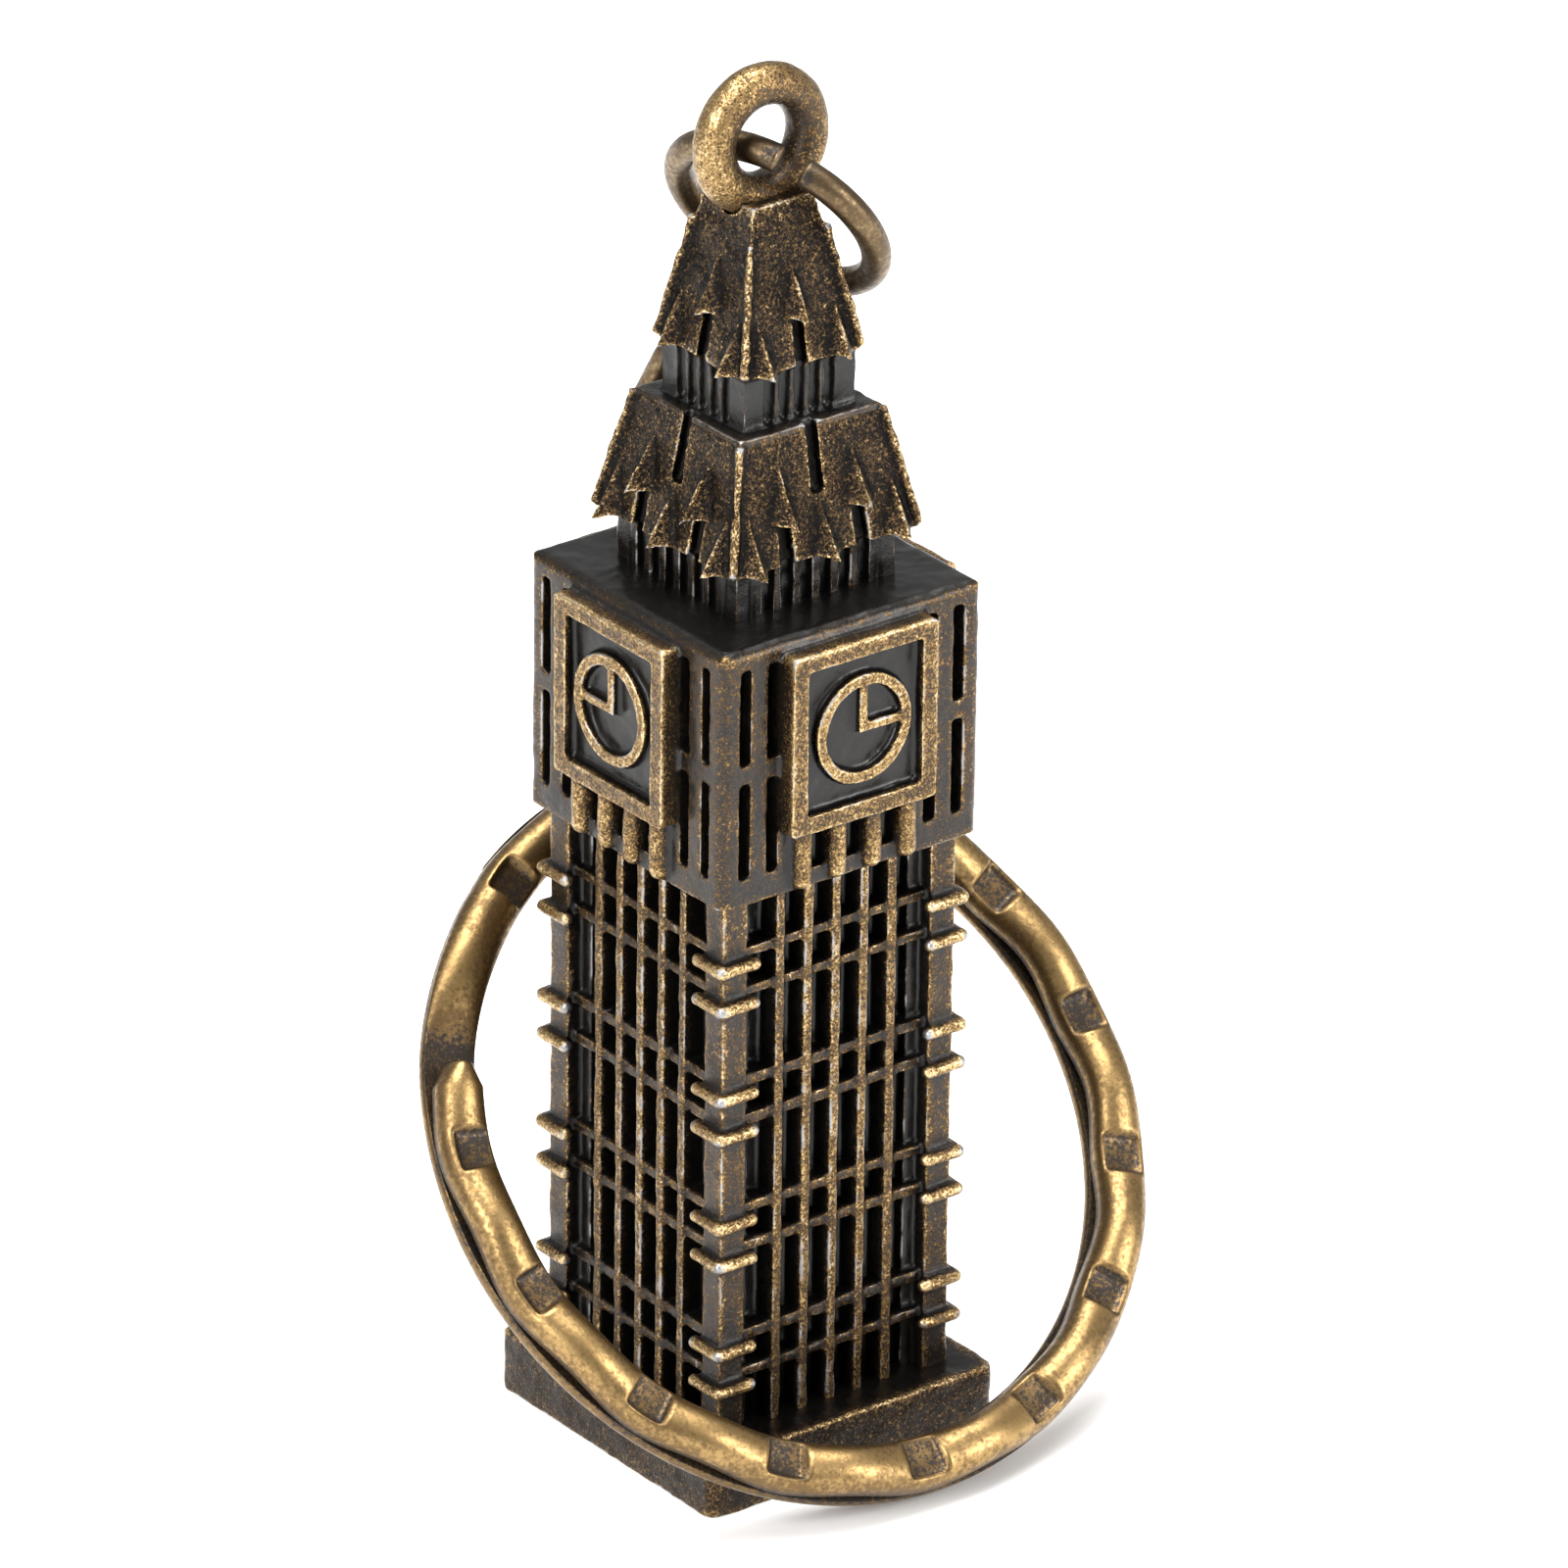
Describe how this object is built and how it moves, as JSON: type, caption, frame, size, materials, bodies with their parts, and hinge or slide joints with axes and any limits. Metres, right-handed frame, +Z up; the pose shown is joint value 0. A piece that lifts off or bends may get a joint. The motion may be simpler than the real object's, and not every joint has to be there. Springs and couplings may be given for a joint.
{
  "type": "clock tower keychain",
  "caption": "Cast metal miniature clock tower with a hanging eye, jump ring, short chain and a split key ring lying round its shaft.",
  "frame": {"origin": "centre of the plinth's flat underside, on the surface it stands on", "axes": "+Z up the tower to the hanging eye; -Y is one of the four alike clock faces; the eye's hole runs along Y"},
  "size_m": [0.03, 0.0239, 0.0549],
  "materials": {
    "cast_bronze": "antique bronze plate, gritty, worn on raised edges",
    "worn_bronze": "antique bronze plate, rubbed bright on the raised faces",
    "dark_recess": "near-black patina with a slight gloss",
    "ring_bronze": "satin antique bronze wire",
    "key_ring_bronze": "satin antique bronze, pressed notches round the coils"
  },
  "bodies": {
    "tower": {"plinth": "cast_bronze", "shaft_core": "dark_recess", "corner_pilasters": "cast_bronze", "pilaster_bands": "worn_bronze", "window_lattice": "cast_bronze", "clock_stage": "cast_bronze", "clock_frames": "worn_bronze", "clock_dials": "worn_bronze", "clock_hands": "worn_bronze", "frame_corbels": "worn_bronze", "belfry_neck": "dark_recess", "lower_roof": "cast_bronze", "lower_roof_dormers": "cast_bronze", "roof_ridges": "worn_bronze", "lantern_neck": "dark_recess", "spire": "cast_bronze", "spire_dormers": "cast_bronze", "hanging_eye": "worn_bronze"},
    "jump_ring": {"jump_ring": "ring_bronze"},
    "chain_link_1": {"chain_link_1": "ring_bronze"},
    "chain_link_2": {"chain_link_2": "ring_bronze"},
    "chain_link_3": {"chain_link_3": "ring_bronze"},
    "chain_link_4": {"chain_link_4": "ring_bronze"},
    "connector_ring": {"connector_ring": "ring_bronze"},
    "split_ring": {"split_ring": "key_ring_bronze"}
  },
  "joints": [
    {"name": "jump_ring_swing", "type": "hinge", "parent": "tower", "child": "jump_ring", "pos_m": [-0.0003, 0, 0.0517], "axis": [0, 1, 0], "range_deg": [-2.5, 1.5]},
    {"name": "chain_link_1_swing", "type": "hinge", "parent": "jump_ring", "child": "chain_link_1", "pos_m": [0.00235, 0.0038, 0.0462], "axis": [0, 1, 0], "range_deg": [-1.5, 2.5]},
    {"name": "chain_link_2_swing", "type": "hinge", "parent": "chain_link_1", "child": "chain_link_2", "pos_m": [0.0025, 0.00586, 0.04087], "axis": [0, 1, 0], "range_deg": [-5, 5]},
    {"name": "chain_link_3_swing", "type": "hinge", "parent": "chain_link_2", "child": "chain_link_3", "pos_m": [0.00197, 0.00849, 0.03579], "axis": [0, 1, 0], "range_deg": [-10, 10]},
    {"name": "chain_link_4_swing", "type": "hinge", "parent": "chain_link_3", "child": "chain_link_4", "pos_m": [0.00168, 0.0093, 0.03013], "axis": [0, 1, 0], "range_deg": [-5, 5]},
    {"name": "connector_ring_swing", "type": "hinge", "parent": "chain_link_4", "child": "connector_ring", "pos_m": [0.0014, 0.0091, 0.0245], "axis": [1, 0, 0], "range_deg": [-1.2, 0]},
    {"name": "split_ring_lift", "type": "hinge", "parent": "connector_ring", "child": "split_ring", "pos_m": [0.00137, 0.0091, 0.0218], "axis": [-1, 0, 0], "range_deg": [0, 60]}
  ],
  "couplings": [
    {"joint": "chain_link_1_swing", "follows": "jump_ring_swing", "ratio": -1},
    {"joint": "chain_link_3_swing", "follows": "chain_link_2_swing", "ratio": -2},
    {"joint": "chain_link_4_swing", "follows": "chain_link_2_swing", "ratio": 1}
  ]
}
